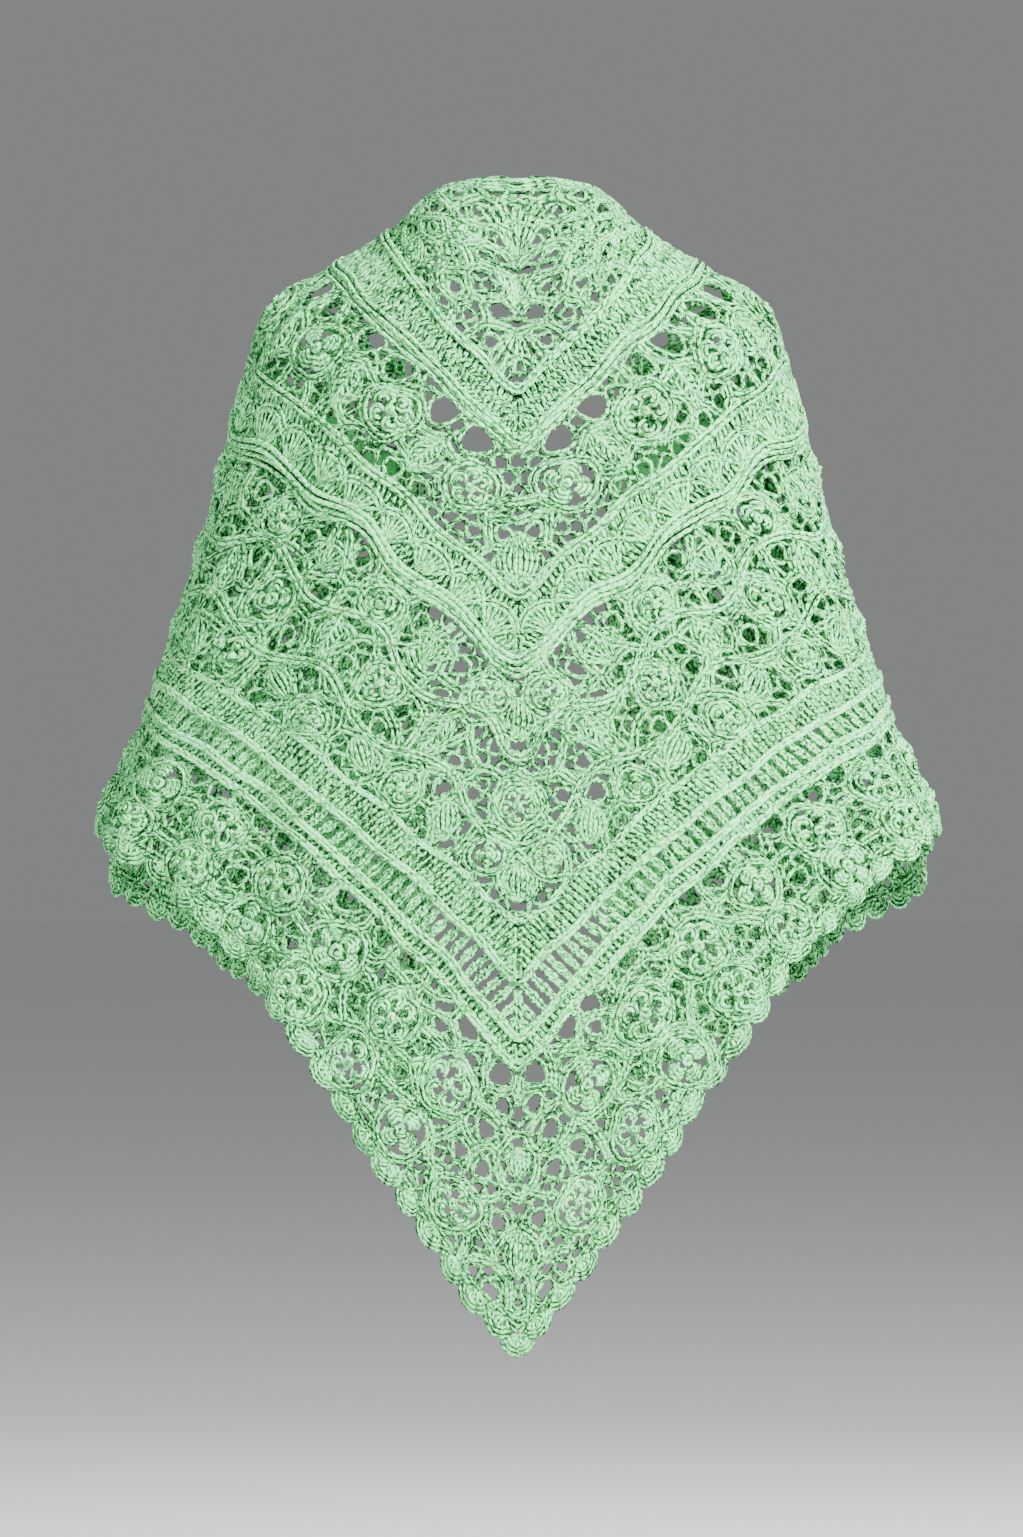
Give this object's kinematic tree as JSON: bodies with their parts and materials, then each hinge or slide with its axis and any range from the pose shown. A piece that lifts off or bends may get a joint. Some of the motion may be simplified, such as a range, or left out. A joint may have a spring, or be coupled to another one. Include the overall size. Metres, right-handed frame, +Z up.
{
  "type": "shawl",
  "caption": "Triangular openwork crocheted shawl in its worn pose: V-shaped bands of lace and corded ridges, a shell-edged hem, open at the front.",
  "frame": {"origin": "on the axis of the wearer's neck, 37 mm below the top of the neck edge at the nape", "axes": "+Z up along the wearer's neck, -Y towards the wearer's back, which is the side that the picture shows, +X towards the wearer's right as seen from behind on the right of the picture"},
  "size_m": [0.7134, 0.3106, 0.9761],
  "materials": {
    "neck_edging": "matte mint green cotton yarn",
    "top_lace": "matte mint green cotton yarn",
    "yoke_band": "matte mint green cotton yarn",
    "rose_lace": "matte mint green cotton yarn",
    "fan_band": "matte mint green cotton yarn",
    "flower_lace": "matte mint green cotton yarn",
    "ladder_band": "matte mint green cotton yarn",
    "border_lace": "matte mint green cotton yarn",
    "scallop_edging": "matte mint green cotton yarn"
  },
  "bodies": {
    "root": {"neck_edging": "neck_edging", "top_lace": "top_lace", "yoke_band": "yoke_band", "rose_lace": "rose_lace", "fan_band": "fan_band", "flower_lace": "flower_lace", "ladder_band": "ladder_band", "border_lace": "border_lace", "scallop_edging": "scallop_edging"}
  },
  "joints": []
}
